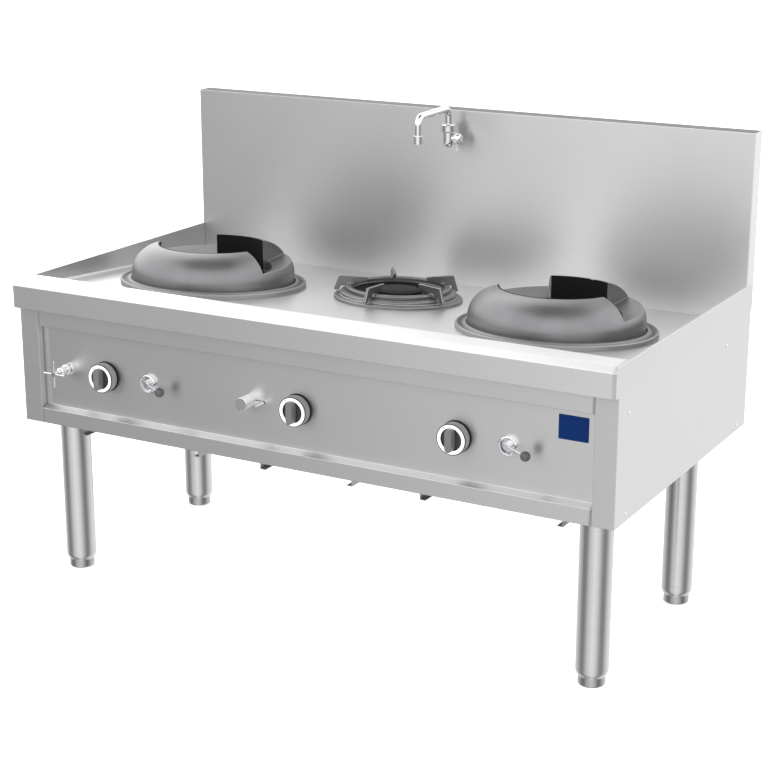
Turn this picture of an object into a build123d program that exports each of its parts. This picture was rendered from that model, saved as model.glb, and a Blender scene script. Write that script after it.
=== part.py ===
from build123d import *
import math
import os

os.makedirs("parts", exist_ok=True)

# ---------------------------------------------------------------- dimensions
# millimetres; +X to the right, +Y to the back, +Z up, floor at Z = 0
WIDTH = 1650.0            # over the worktop
DEPTH = 900.0             # apron face to the back of the splashback
APRON_Y = -439.5          # front face of the apron in the model frame
RIM_Z = 800.0             # working height, top of the raised rim
APRON_BOTTOM = 730.0
BODY_BOTTOM = 425.0
SPLASH_TOP = 1186.6
SPLASH_Y = 850.0          # front face of the splashback, from the apron face
SHEET = 2.0               # worktop, fascia and splashback sheet
PANEL = 1.5               # covers and trays
SIDE_WALL = 5.0           # folded side upstand
RIM_BEVEL = 12.0
RIM_INNER = 81.0          # inner edge of the front rim, from the apron face
DECK_REAR_Z = 713.0       # deck height where it meets the splashback
DECK_SLOPE = 0.0735       # deck falls towards the back
BODY_SET = 22.0           # body front behind the apron face
STRIP = 56.0              # width of the corner strips of the front
RECESS_Y = 42.0           # plane of the recessed control panel
RECESS_TOP = 684.0
RECESS_BOTTOM = 464.0
LEDGE_RISE = 7.5

LEG_X = 82.0              # leg axis from either end
LEG_Y = (120.0, 671.0)    # leg axes from the apron face
LEG_R = 39.0
LEG_BOTTOM = 22.0
FOOT_R = 32.3

WOK_X = (328.0, 1322.0)   # wok ring axes from the left end
WOK_Y = 420.0
WOK_HOLE_R = 200.6
COLLAR_R = 245.0
RING_R = 215.0            # widest part of the cast ring
RING_BORE = 140.0
RING_MID_Z = 775.0        # height of the widest circle on the axis
RING_TOP = 76.0           # top of the walls above the widest circle
RING_TILT = 0.04
CENTER_X = 821.5
CENTER_Y = 540.0
CENTER_HOLE_R = 120.0
FIN_ANGLES = (-91.0, -19.0, 53.0, 125.0, 197.0)
CENTER_LEVEL = 0.03       # the burner rings lie nearer to level than the deck

KNOB_X = (255.0, 825.0, 1249.0)
KNOB_Z = 573.0
KNOB_R = 37.4
KNOB_FACE = 12.6          # face of the knob, from the apron face
KNOB_BACK = 34.5
KNOB_GRIP = -4.5          # front of the grip bar
KNOB_TRAVEL = 4.0
TAP_X = (386.7, 1381.0)
TAP_Z = 573.0
TAP_FLANGE_R = 22.6
TAP_REACH = 57.5          # lever ball beside the tap axis
BALL_R = 12.0
CROSS_X, CROSS_Z = 133.8, 574.8
CROSS_HUB = -17.0         # plane of the four arms
STUB_X, STUB_Z = 686.0, 573.5
STUB_R = 16.6
STUB_FRONT = 3.0
STUB_REACH = 40.0         # lever pin beside the valve axis
PLATE_X, PLATE_Z = 1537.0, 638.0
WALL_TAP_X, WALL_TAP_Z = 826.0, 1117.0
WALL_TAP_Y = 805.0
WALL_TAP_INLET_Z = 1106.0
SPOUT_TOP = 1197.0
SPOUT_Y = 636.0

TRAY_SPANS = {"left": (150.0, 514.0), "center": (698.0, 957.0), "right": (1143.0, 1507.0)}
RUNNER_BOTTOM = 392.0
RAIL_BOTTOM = 430.0
RAIL = 30.0


def X(a):
    """Model X of a distance from the left end."""
    return a - WIDTH / 2


def Y(b):
    """Model Y of a distance behind the apron face."""
    return b + APRON_Y


def deck_z(b):
    """Height of the deck at a distance behind the apron face."""
    return DECK_REAR_Z + DECK_SLOPE * (SPLASH_Y - b)


def deck_plane(a, b, h=0.0):
    """Plane parallel to the deck, h above it, at a point of the deck."""
    n = Vector(0, DECK_SLOPE, 1).normalized()
    return Plane(origin=Vector(X(a), Y(b), deck_z(b)) + n * h, x_dir=(1, 0, 0), z_dir=n)


def profile_plane(base, angle=0.0):
    """Plane through the axis of base: local x is radial, local y is along it."""
    c, s = math.cos(math.radians(angle)), math.sin(math.radians(angle))
    radial = base.x_dir * c + base.y_dir * s
    return Plane(origin=base.origin, x_dir=radial, z_dir=radial.cross(base.z_dir))


def ring_plane(a):
    """Plane through the widest circle of a cast ring."""
    return Plane(origin=(X(a), Y(WOK_Y), RING_MID_Z), x_dir=(1, 0, 0),
                 z_dir=Vector(0, RING_TILT, 1).normalized())


def front(a, z, b):
    """Plane facing the front of the range, normal towards the viewer (-Y)."""
    return Plane(origin=(X(a), Y(b), z), x_dir=(1, 0, 0), z_dir=(0, -1, 0))


def save(builder, name):
    builder.part.label = name
    export_step(builder.part, f"parts/{name}.step")


# ------------------------------------------------------------- worktop tray
# one pressed tray: apron, bevelled rim, inner wall, deck falling to the back
with BuildPart() as worktop_tray:
    with BuildSketch(Plane.YZ.offset(X(SIDE_WALL - 1.2))):
        with BuildLine():
            Polyline(
                (Y(22), 730), (Y(0), 730), (Y(0), 788), (Y(12), 800), (Y(RIM_INNER), 800),
                (Y(RIM_INNER), deck_z(RIM_INNER)), (Y(SPLASH_Y), DECK_REAR_Z), (Y(SPLASH_Y), 690),
                (Y(SPLASH_Y - 2), 690), (Y(SPLASH_Y - 2), deck_z(SPLASH_Y - 2) - 2),
                (Y(RIM_INNER - 2), deck_z(RIM_INNER - 2) - 2), (Y(RIM_INNER - 2), 798),
                (Y(12.8), 798), (Y(2), 787.2), (Y(2), 732), (Y(22), 732), close=True)
        make_face()
    extrude(amount=WIDTH - 2 * (SIDE_WALL - 1.2))
    # side upstands, flush with the ends of the apron
    for plane in (Plane.YZ.offset(X(0)), Plane.YZ.offset(X(WIDTH - SIDE_WALL))):
        with BuildSketch(plane):
            with BuildLine():
                Polyline((Y(0), 730), (Y(0), 788), (Y(12), 800), (Y(DEPTH), 800), (Y(DEPTH), 730), close=True)
            make_face()
        extrude(amount=SIDE_WALL)
    # inner skins that carry the upstands down to the low end of the deck
    for plane in (Plane.YZ.offset(X(SIDE_WALL - 1.2)), Plane.YZ.offset(X(WIDTH - SIDE_WALL))):
        with BuildSketch(plane):
            with BuildLine():
                Polyline((Y(RIM_INNER), 790), (Y(RIM_INNER), deck_z(RIM_INNER) - 2), (Y(SPLASH_Y), deck_z(SPLASH_Y) - 2),
                         (Y(SPLASH_Y), 790), close=True)
            make_face()
        extrude(amount=1.2)
    # coves where the deck meets the inner walls
    cove = []
    for e in worktop_tray.edges():
        c = e.center()
        on_deck = abs(c.Z - deck_z(c.Y - APRON_Y)) < 0.6
        if on_deck and abs(abs(c.X) - (WIDTH / 2 - SIDE_WALL)) < 0.2 and e.length > 400:
            cove.append(e)
        if on_deck and abs(c.Y - Y(RIM_INNER)) < 0.2 and e.length > 1000:
            cove.append(e)
    fillet(cove, 9)
    # openings for the two wok positions and the centre burner
    with BuildSketch(Plane.XY.offset(680)):
        with Locations((X(WOK_X[0]), Y(WOK_Y)), (X(WOK_X[1]), Y(WOK_Y))):
            Circle(WOK_HOLE_R)
        with Locations((X(CENTER_X), Y(CENTER_Y))):
            Circle(CENTER_HOLE_R)
    extrude(amount=110, mode=Mode.SUBTRACT)
    # rounded outer folds of the rim
    outer = []
    for e in worktop_tray.edges():
        c = e.center()
        if e.length > 1500 and (abs(c.Y - Y(0)) < 0.1 and abs(c.Z - 788) < 0.1 or abs(c.Y - Y(12)) < 0.1 and abs(c.Z - 800) < 0.1):
            outer.append(e)
        if e.length > 1500 and abs(c.Y - Y(RIM_INNER)) < 0.1 and abs(c.Z - 800) < 0.1:
            outer.append(e)
    fillet(outer, 1.8)
save(worktop_tray, "worktop_tray")

# --------------------------------------------------------------- splashback
with BuildPart() as splashback:
    with BuildSketch(Plane.XY.offset(RIM_Z)):
        with Locations((0, Y((SPLASH_Y + DEPTH) / 2))):
            Rectangle(WIDTH, DEPTH - SPLASH_Y)
    extrude(amount=SPLASH_TOP - RIM_Z)
    with BuildSketch(Plane.XY.offset(RIM_Z)):
        with Locations((0, Y((SPLASH_Y + DEPTH) / 2))):
            Rectangle(WIDTH - 2 * SHEET, DEPTH - SPLASH_Y - 2 * SHEET)
    extrude(amount=SPLASH_TOP - RIM_Z - SHEET, mode=Mode.SUBTRACT)
    # open back inside a folded edge
    with BuildSketch(Plane.XZ.offset(-Y(DEPTH - 5))):
        with Locations((0, RIM_Z + (SPLASH_TOP - RIM_Z - 18) / 2)):
            Rectangle(WIDTH - 36, SPLASH_TOP - RIM_Z - 18)
    extrude(amount=-10, mode=Mode.SUBTRACT)
    # skirt behind the rear turn-down of the deck
    with BuildSketch(Plane.XZ.offset(-Y(SPLASH_Y))):
        with Locations((0, (690 + RIM_Z + 2) / 2)):
            Rectangle(WIDTH - 2 * SIDE_WALL - 1, RIM_Z + 2 - 690)
    extrude(amount=-SHEET)
    # hole for the wall tap
    with BuildSketch(Plane.XZ.offset(-Y(SPLASH_Y - 1))):
        with Locations((X(WALL_TAP_X), WALL_TAP_INLET_Z)):
            Circle(11)
    extrude(amount=-4, mode=Mode.SUBTRACT)
    folds = [e for e in splashback.edges()
             if (e.length > 1600 and abs(e.center().Z - SPLASH_TOP) < 0.1 and abs(e.center().Y - Y(SPLASH_Y)) < 0.1)
             or (abs(e.center().Y - Y(SPLASH_Y)) < 0.1 and abs(abs(e.center().X) - WIDTH / 2) < 0.1 and e.length > 300)]
    fillet(folds, 1.5)
save(splashback, "splashback")

with BuildPart() as splash_rear_cover:
    with BuildSketch(Plane.XZ.offset(-Y(DEPTH - 2.2 - PANEL))):
        with Locations((0, (731 + 1183) / 2)):
            Rectangle(WIDTH - 12, 1183 - 731)
    extrude(amount=-PANEL)
    # fold that closes the step down to the rear panel
    with BuildSketch(Plane.XY.offset(731)):
        with Locations((0, Y((868 + DEPTH - 2.2) / 2))):
            Rectangle(WIDTH - 12, DEPTH - 2.2 - 868)
    extrude(amount=PANEL)
save(splash_rear_cover, "splash_rear_cover")

# ------------------------------------------------------------- body panels
for side, s in (("left", -1.0), ("right", 1.0)):
    with BuildPart() as side_panel:
        with BuildSketch(Plane.XY.offset(BODY_BOTTOM)):
            with BuildLine():
                o = WIDTH / 2 - 1.5          # outer face
                Polyline(
                    (s * (o - 23), Y(898)), (s * o, Y(898)), (s * o, Y(BODY_SET)),
                    (s * (WIDTH / 2 - STRIP), Y(BODY_SET)), (s * (WIDTH / 2 - STRIP), Y(RECESS_Y + 2)),
                    (s * (WIDTH / 2 - STRIP + 2), Y(RECESS_Y + 2)), (s * (WIDTH / 2 - STRIP + 2), Y(BODY_SET + 2)),
                    (s * (o - 2), Y(BODY_SET + 2)), (s * (o - 2), Y(896)), (s * (o - 23), Y(896)), close=True)
            make_face()
        extrude(amount=APRON_BOTTOM - BODY_BOTTOM)
        # folded bottom edge
        with BuildSketch(Plane.XY.offset(BODY_BOTTOM)):
            with Locations((s * (o - 9), Y(460))):
                Rectangle(18, 876)
        extrude(amount=SHEET)
    save(side_panel, f"{side}_side_panel")

# front fascia: top strip, recessed control panel, sloping ledge, bottom strip
with BuildPart() as front_fascia:
    with BuildSketch(Plane.YZ.offset(X(STRIP + 0.4))):
        with BuildLine():
            f, r = BODY_SET, RECESS_Y
            Polyline(
                (Y(50), 425), (Y(f), 425), (Y(f), RECESS_BOTTOM), (Y(r), RECESS_BOTTOM + LEDGE_RISE),
                (Y(r), RECESS_TOP), (Y(f), RECESS_TOP), (Y(f), 729.8), (Y(40), 729.8), (Y(40), 727.8),
                (Y(f + 2), 727.8), (Y(f + 2), RECESS_TOP + 2), (Y(r + 2), RECESS_TOP + 2),
                (Y(r + 2), RECESS_BOTTOM + LEDGE_RISE - 1.3), (Y(f + 2), RECESS_BOTTOM - 1.3),
                (Y(f + 2), 427), (Y(50), 427), close=True)
        make_face()
    extrude(amount=WIDTH - 2 * STRIP - 0.8)
    with BuildSketch(Plane.XZ.offset(-Y(RECESS_Y - 1))):
        with Locations(*[(X(k), KNOB_Z) for k in KNOB_X]):
            Circle(9)
        with Locations(*[(X(t), TAP_Z) for t in TAP_X]):
            Circle(12)
        with Locations((X(CROSS_X), CROSS_Z)):
            Circle(11)
        with Locations((X(STUB_X), STUB_Z)):
            Circle(13)
    extrude(amount=-5, mode=Mode.SUBTRACT)
save(front_fascia, "front_fascia")

with BuildPart() as rear_panel:
    with BuildSketch(Plane.XZ.offset(-Y(868))):
        with Locations((0, (427 + 730.8) / 2)):
            Rectangle(WIDTH - 10, 730.8 - 427)
        with Locations((X(1560), 573)):
            Circle(20, mode=Mode.SUBTRACT)
        with Locations((X(60), CROSS_Z)):
            Circle(16, mode=Mode.SUBTRACT)
        # cooling slots
        with GridLocations(150, 24, 8, 5):
            SlotOverall(90, 6, mode=Mode.SUBTRACT)
    extrude(amount=-PANEL)
save(rear_panel, "rear_panel")

# ------------------------------------------------------------- base frame
with BuildPart() as base_frame:
    for b in (70.0, 745.0, 845.0):
        with BuildSketch(Plane.YZ.offset(X(8))):
            with Locations((Y(b), RAIL_BOTTOM + RAIL / 2)):
                Rectangle(RAIL, RAIL)
                Rectangle(RAIL - 5, RAIL - 5, mode=Mode.SUBTRACT)
        extrude(amount=WIDTH - 16)
    for a in (23.0, 605.0, 1045.0, 1627.0):
        with BuildSketch(Plane.XZ.offset(-Y(83))):
            with Locations((X(a), RAIL_BOTTOM + RAIL / 2)):
                Rectangle(RAIL, RAIL)
                Rectangle(RAIL - 5, RAIL - 5, mode=Mode.SUBTRACT)
        extrude(amount=-(832 - 83))
    # leg plates with spigots that enter the tubes
    with BuildSketch(Plane.XY.offset(BODY_BOTTOM)):
        for a in (LEG_X, WIDTH - LEG_X):
            for b in LEG_Y:
                with Locations((X(a), Y(b))):
                    RectangleRounded(120, 122, 6)
        # straps that carry the rear plates to the rails
        for a in (LEG_X, WIDTH - LEG_X):
            with Locations((X(a), Y(720))):
                Rectangle(60, 80)
    extrude(amount=RAIL_BOTTOM - BODY_BOTTOM)
    with BuildSketch(Plane.XY.offset(BODY_BOTTOM - 40)):
        for a in (LEG_X, WIDTH - LEG_X):
            for b in LEG_Y:
                with Locations((X(a), Y(b))):
                    Circle(36.8)
                    Circle(33.8, mode=Mode.SUBTRACT)
    extrude(amount=41)
save(base_frame, "base_frame")

# ---------------------------------------------------------- legs and feet
for row, b in (("front", LEG_Y[0]), ("rear", LEG_Y[1])):
    for side, a in (("left", LEG_X), ("right", WIDTH - LEG_X)):
        up = Plane(origin=(X(a), Y(b), 0), x_dir=(1, 0, 0), z_dir=(0, -1, 0))
        # tube with its lower end swaged in over the foot
        with BuildPart() as leg:
            with BuildSketch(up):
                with BuildLine():
                    Polyline(
                        (LEG_R - 2, BODY_BOTTOM), (LEG_R, BODY_BOTTOM), (LEG_R, 38), (38.6, 34.5), (37.4, 31), (35.6, 27.6),
                        (33.8, 24.6), (33, LEG_BOTTOM), (31, LEG_BOTTOM), (31.8, 25.4), (33.8, 28.8), (35.5, 32), (36.6, 35.2),
                        (LEG_R - 2, 39), close=True)
                make_face()
            revolve(axis=Axis((X(a), Y(b), 0), (0, 0, 1)))
        save(leg, f"leg_{row}_{side}")
        with BuildPart() as foot:
            with BuildSketch(up):
                with BuildLine():
                    Polyline(
                        (0, 0), (FOOT_R - 4, 0), (FOOT_R - 1.2, 1), (FOOT_R, 3.5), (FOOT_R, LEG_BOTTOM - 0.4), (30.6, LEG_BOTTOM - 0.4), (30.6, 74), (36.5, 76), (36.5, 100), (34, 102),
                        (25, 102), (25, 24), (0, 24), close=True)
                make_face()
            revolve(axis=Axis((X(a), Y(b), 0), (0, 0, 1)))
        save(foot, f"foot_{row}_{side}")

# ------------------------------------------------- wok collars and rings
for side, a in (("left", WOK_X[0]), ("right", WOK_X[1])):
    base = deck_plane(a, WOK_Y)
    with BuildPart() as wok_collar:
        with BuildSketch(profile_plane(base)):
            with BuildLine():
                Polyline(
                    (199, 0), (COLLAR_R, 0), (COLLAR_R, 9.8), (243, 12.3), (239.5, 12.9), (236.5, 9.8), (228.5, 9.2),
                    (225.5, 13), (222.5, 14.2), (217.5, 14.2), (217.5, 6), (197, 6), (197, -2), (199, -2), close=True)
            make_face()
        revolve(axis=Axis(base.origin, base.z_dir))
    save(wok_collar, f"wok_collar_{side}")

    top = ring_plane(a)
    axis = Axis(top.origin, top.z_dir)
    level = Plane(origin=top.origin, x_dir=(1, 0, 0), z_dir=(0, 0, 1))
    seat = deck_plane(a, WOK_Y, 6.3)
    rise = math.degrees(math.asin(RING_TOP / 79.0))
    with BuildPart() as wok_ring:
        # full cast ring: plain foot and a domed shoulder
        with BuildSketch(profile_plane(top)):
            with BuildLine():
                dome = EllipticalCenterArc((120, 0), 95, 79, start_angle=0, arc_size=rise)
                Polyline(dome @ 1, (RING_BORE, RING_TOP), (RING_BORE, -48), (RING_R, -48), dome @ 0)
            make_face()
        revolve(axis=axis)
        # two level gaps between the front wall and the rear guard
        for start, arc in ((-18.0, 74.0), (120.0, 81.0)):
            with BuildSketch(profile_plane(level, start)):
                with BuildLine():
                    Polyline((132, -12), (156, -12), (156, 12), (157.5, 13.5), (205, 29.5), (232, 29.5), (232, 92), (132, 92),
                             close=True)
                make_face()
            revolve(axis=Axis(level.origin, level.z_dir), revolution_arc=arc, mode=Mode.SUBTRACT)
        # cored underside
        with BuildSketch(profile_plane(top)):
            with BuildLine():
                Polyline((168, -60), (203, -60), (203, -5), (199, -2), (172, -2), (168, -5), close=True)
            make_face()
        revolve(axis=axis, mode=Mode.SUBTRACT)
        for start, arc in ((206.0, 131.0), (61.5, 54.0)):
            with BuildSketch(profile_plane(top, start)):
                with BuildLine():
                    Polyline((153, -60), (202, -60), (202, 12), (201, 15), (193, 35), (181, 50), (167, 60), (153, 60), close=True)
                make_face()
            revolve(axis=axis, revolution_arc=arc, mode=Mode.SUBTRACT)
        split(bisect_by=seat, keep=Keep.TOP)
    save(wok_ring, f"wok_ring_{side}")

    # steel firebox below the deck
    with BuildPart() as firebox:
        with BuildSketch(profile_plane(base)):
            with BuildLine():
                Polyline(
                    (190, -2), (216, -2), (216, -4), (192, -4), (192, -206), (46, -206), (46, -204), (190, -204), close=True)
            make_face()
        revolve(axis=Axis(base.origin, base.z_dir))
    save(firebox, f"firebox_{side}")

    # wok burner: cast head with two rings of ports on a mixing tube
    with BuildPart() as burner:
        with BuildSketch(Plane(origin=(X(a), Y(WOK_Y), 0), x_dir=(1, 0, 0), z_dir=(0, -1, 0))):
            with BuildLine():
                Polyline(
                    (0, 600), (17, 600), (17, 512), (25, 512), (25, 560), (36, 572), (92, 588), (100, 598), (100, 624),
                    (94, 632), (72, 640), (64, 640), (58, 622), (40, 618), (30, 622), (26, 630), (0, 630), close=True)
            make_face()
        revolve(axis=Axis((X(a), Y(WOK_Y), 0), (0, 0, 1)))
        with BuildSketch(Plane.XY.offset(650)):
            with Locations((X(a), Y(WOK_Y))):
                with PolarLocations(85, 24):
                    Circle(3)
                with PolarLocations(68, 16):
                    Circle(2.5)
                with PolarLocations(16, 6):
                    Circle(2)
        extrude(amount=-42, mode=Mode.SUBTRACT)
    save(burner, f"burner_{side}")

# ------------------------------------------------------- centre burner
center = deck_plane(CENTER_X, CENTER_Y)
center_axis = Axis(center.origin, center.z_dir)
center_top = Plane(origin=center.origin, x_dir=(1, 0, 0), z_dir=Vector(0, DECK_SLOPE - CENTER_LEVEL, 1).normalized())
top_axis = Axis(center_top.origin, center_top.z_dir)
with BuildPart() as center_collar:
    # flange on the deck
    with BuildSketch(profile_plane(center)):
        with BuildLine():
            Polyline((117, -2), (119, -2), (119, 0), (167, 0), (167, 6.5), (164.5, 9), (155, 10), (117, 10), close=True)
        make_face()
    revolve(axis=center_axis)
    # raised ring and bowl
    with BuildSketch(profile_plane(center_top)):
        with BuildLine():
            Polyline(
                (76, -4), (80, -4), (84, 3), (108, 4.5), (151, 5), (150, 19), (147, 22),
                (139, 24), (121, 24), (116, 20), (80, 9), (76, 7), close=True)
        make_face()
    revolve(axis=top_axis)
save(center_collar, "center_collar")

with BuildPart() as pan_support:
    with BuildSketch(profile_plane(center_top)):
        with BuildLine():
            Polyline((121, 24.3), (135.5, 24.3), (135.5, 31), (133, 34), (123, 34), (121, 32), close=True)
        make_face()
    revolve(axis=top_axis)
    for angle in FIN_ANGLES:
        with BuildSketch(profile_plane(center_top, angle)):
            with BuildLine():
                t = -CENTER_LEVEL * math.sin(math.radians(angle))
                Polyline((81, 53), (154, 53), (158, 51), (171.5, 15 + 171.5 * t), (168, 12.8 + 168 * t), (159, 12.8 + 159 * t),
                         (153, 26), (122, 27.5), (118, 32), (82, 43), (78.5, 50), close=True)
            make_face()
        extrude(amount=3, both=True)
save(pan_support, "pan_support")

with BuildPart() as center_burner_body:
    with BuildSketch(profile_plane(center)):
        with BuildLine():
            Polyline((0, -60), (16, -60), (16, -112), (24, -112), (24, -62), (34, -52), (60, -40), (70, -24), (70, 14),
                     (66, 18), (62, 18), (60, 12), (40, 8), (30, 8), (30, -10), (0, -10), close=True)
        make_face()
    revolve(axis=center_axis)
save(center_burner_body, "center_burner_body")

with BuildPart() as center_burner_cap:
    with BuildSketch(profile_plane(center)):
        with BuildLine():
            Polyline((0, 10), (26, 10), (26, 12.3), (54, 18.3), (58, 20), (58, 25), (50, 29), (20, 31), (0, 31), close=True)
        make_face()
    revolve(axis=center_axis)
    for k in range(24):
        with BuildSketch(profile_plane(center, k * 15.0)):
            with Locations((56, 20.5)):
                Rectangle(8, 3)
        extrude(amount=1.1, both=True, mode=Mode.SUBTRACT)
save(center_burner_cap, "center_burner_cap")

# ------------------------------------------------------- gas train
with BuildPart() as gas_manifold:
    with BuildSketch(Plane.YZ.offset(X(190))):
        with Locations((Y(113), 573)):
            Circle(17)
    extrude(amount=1600 - 190)
    with BuildSketch(Plane.XZ.offset(-Y(113))):
        with Locations((X(1560), 573)):
            Circle(11.5)
    extrude(amount=-(870.5 - 113))
    # threaded inlet behind the rear panel
    with BuildSketch(Plane.XZ.offset(-Y(870.5))):
        with Locations((X(1560), 573)):
            Circle(13.2)
    extrude(amount=-26)
    with BuildSketch(Plane.XZ.offset(-Y(825))):
        with Locations((X(1560), 573)):
            RegularPolygon(19, 6)
    extrude(amount=-14)
    with BuildSketch(Plane.XZ.offset(-Y(896.5))):
        with Locations((X(1560), 573)):
            Circle(9.5)
    extrude(amount=60, mode=Mode.SUBTRACT)
save(gas_manifold, "gas_manifold")

with BuildPart() as gas_valves:
    for a in KNOB_X:
        with BuildSketch(front(a, KNOB_Z, 96)):
            Circle(18)
        extrude(amount=96 - 47)
        with BuildSketch(Plane.XY.offset(KNOB_Z - 32)):
            with Locations((X(a), Y(72))):
                Circle(10)
        extrude(amount=20)
        with BuildSketch(front(a, KNOB_Z, 84)):
            Circle(6.06)
        extrude(amount=84 - 40, mode=Mode.SUBTRACT)
save(gas_valves, "gas_valves")

for side, a in (("left", KNOB_X[0]), ("center", KNOB_X[1]), ("right", KNOB_X[2])):
    # spring-loaded stem that the knob turns about and pushes in
    with BuildPart() as valve_stem:
        with BuildSketch(front(a, KNOB_Z, 78)):
            Circle(6)
        extrude(amount=78 - 62)
        with BuildSketch(front(a, KNOB_Z, 78)):
            Circle(5)
        extrude(amount=78 - 20.6)
    save(valve_stem, f"valve_stem_{side}")

with BuildPart() as burner_supply_pipes:
    routes = (
        ((KNOB_X[0], 72, KNOB_Z - 32), (KNOB_X[0], 72, 486), (WOK_X[0], WOK_Y, 486), (WOK_X[0], WOK_Y, 512)),
        ((KNOB_X[1], 72, KNOB_Z - 32), (KNOB_X[1], 72, 486), (CENTER_X, 532, 486), (CENTER_X, 532, 623)),
        ((KNOB_X[2], 72, KNOB_Z - 32), (KNOB_X[2], 72, 486), (WOK_X[1], WOK_Y, 486), (WOK_X[1], WOK_Y, 512)),
    )
    for route in routes:
        pts = [(X(p[0]), Y(p[1]), p[2]) for p in route]
        with BuildLine() as run:
            FilletPolyline(*pts, radius=16)
        with BuildSketch(Plane(origin=pts[0], z_dir=(0, 0, -1))):
            Circle(8)
        sweep(path=run.wires()[0])
save(burner_supply_pipes, "burner_supply_pipes")

with BuildPart() as pilot_burners:
    for a, b, z0, z1 in ((WOK_X[0] + 128, WOK_Y, 542, 640), (WOK_X[1] - 128, WOK_Y, 542, 640), (CENTER_X + 95, CENTER_Y - 20, 640, 722)):
        with BuildSketch(Plane.XY.offset(z0)):
            with Locations((X(a), Y(b))):
                Circle(5)
        extrude(amount=z1 - z0)
        with BuildSketch(Plane.XY.offset(z1)):
            with Locations((X(a), Y(b))):
                Circle(8)
        extrude(amount=14)
        with BuildSketch(Plane.XY.offset(z1 + 4)):
            with Locations((X(a), Y(b))):
                Circle(5.5)
        extrude(amount=10, mode=Mode.SUBTRACT)
save(pilot_burners, "pilot_burners")

# ------------------------------------------------------- control knobs
with BuildPart() as knob_bezels:
    for a in KNOB_X:
        with BuildSketch(front(a, KNOB_Z, RECESS_Y)):
            Circle(39)
            Circle(9, mode=Mode.SUBTRACT)
        extrude(amount=2.8)
save(knob_bezels, "knob_bezels")

for side, a in (("left", KNOB_X[0]), ("center", KNOB_X[1]), ("right", KNOB_X[2])):
    with BuildPart() as knob:
        # skirt with rounded shoulder and a sunk middle
        with BuildSketch(Plane(origin=(X(a), Y(0), KNOB_Z), x_dir=(1, 0, 0), z_dir=(0, 0, 1))):
            with BuildLine():
                Polyline(
                    (0, KNOB_BACK), (12, KNOB_BACK), (12, 24), (33.5, 24), (35.5, KNOB_BACK), (36.9, KNOB_BACK), (KNOB_R, 30),
                    (KNOB_R, KNOB_FACE + 0.9), (KNOB_R - 0.9, KNOB_FACE), (27, KNOB_FACE), (25.5, 17.5), (0, 17.5), close=True)
            make_face()
        revolve(axis=Axis((X(a), Y(0), KNOB_Z), (0, 1, 0)))
        # grip bar
        with BuildSketch(front(a, KNOB_Z, 18)):
            SlotOverall(56, 18, rotation=90)
        extrude(amount=18 - KNOB_GRIP, taper=1.5)
        grip_top = [e for e in knob.edges() if abs(e.center().Y - Y(KNOB_GRIP)) < 0.05]
        fillet(grip_top, 2)
        # bore for the stem
        with BuildSketch(front(a, KNOB_Z, KNOB_BACK + 1)):
            Circle(5.06)
        extrude(amount=KNOB_BACK + 1 - 20.3, mode=Mode.SUBTRACT)
    save(knob, f"knob_{side}")

# ------------------------------------------------------- lever taps
for side, a in (("left", TAP_X[0]), ("right", TAP_X[1])):
    with BuildPart() as lever_tap_body:
        with BuildSketch(Plane(origin=(X(a), Y(0), TAP_Z), x_dir=(1, 0, 0), z_dir=(0, 0, 1))):
            with BuildLine():
                Polyline(
                    (0, 29.5), (3.6, 29.5), (4, 29.9), (4, 38.8), (15.6, 38.8), (18.2, 33.4), (19, 32), (21, 31.6),
                    (TAP_FLANGE_R, 33), (TAP_FLANGE_R, 42), (11.5, 42), (11.5, 54), (15, 54), (15, 88), (0, 88), close=True)
            make_face()
        revolve(axis=Axis((X(a), Y(0), TAP_Z), (0, 1, 0)))
    save(lever_tap_body, f"lever_tap_body_{side}")

    start = Vector(X(a), Y(32), TAP_Z)
    end = Vector(X(a) + TAP_REACH, Y(5.5), TAP_Z - 6)
    along = (end - start).normalized()
    with BuildPart() as tap_lever:
        with BuildSketch(front(a, TAP_Z, 38.2)):
            Circle(10)
        extrude(amount=38.2 - 28)
        hub_edge = [e for e in tap_lever.edges() if abs(e.center().Y - Y(28)) < 0.05]
        fillet(hub_edge, 1.6)
        with BuildSketch(front(a, TAP_Z, 28)):
            Circle(5.6)
        extrude(amount=2)
        with BuildSketch(Plane(origin=start, z_dir=along)):
            Circle(2.5)
        extrude(amount=(end - start).length - 6)
        with BuildSketch(front(a, TAP_Z, 40)):
            Circle(4.06)
        extrude(amount=40 - 29.2, mode=Mode.SUBTRACT)
    save(tap_lever, f"tap_lever_{side}")

    with BuildPart() as lever_ball:
        with BuildSketch(Plane(origin=end, x_dir=along, z_dir=along.cross(Vector(0, 0, 1)).normalized())):
            Circle(BALL_R)
            with Locations((0, -BALL_R)):
                Rectangle(4 * BALL_R, 2 * BALL_R, mode=Mode.SUBTRACT)
        revolve(axis=Axis(end, along))
        with BuildSketch(Plane(origin=end - along * 20, z_dir=along)):
            Circle(2.56)
        extrude(amount=14.3, mode=Mode.SUBTRACT)
    save(lever_ball, f"lever_ball_{side}")

# ------------------------------------------------------- cross-handle valve
with BuildPart() as cross_valve_body:
    with BuildSketch(Plane(origin=(X(CROSS_X), Y(0), CROSS_Z), x_dir=(1, 0, 0), z_dir=(0, 0, 1))):
        with BuildLine():
            Polyline(
                (0, -18.6), (3.6, -18.6), (4, -18.2), (4, -2.4), (6.4, -2.4), (7.6, -1.2), (8, 4), (11.4, 6), (11.4, 25),
                (14.2, 26), (14.2, 31.5), (12.4, 32.5), (12.4, 36), (15, 36.6), (15.8, 37.6), (15.8, 42), (10.5, 42), (10.5, 54),
                (14, 54), (14, 90), (0, 90), close=True)
        make_face()
    revolve(axis=Axis((X(CROSS_X), Y(0), CROSS_Z), (0, 1, 0)))
save(cross_valve_body, "cross_valve_body")

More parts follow.
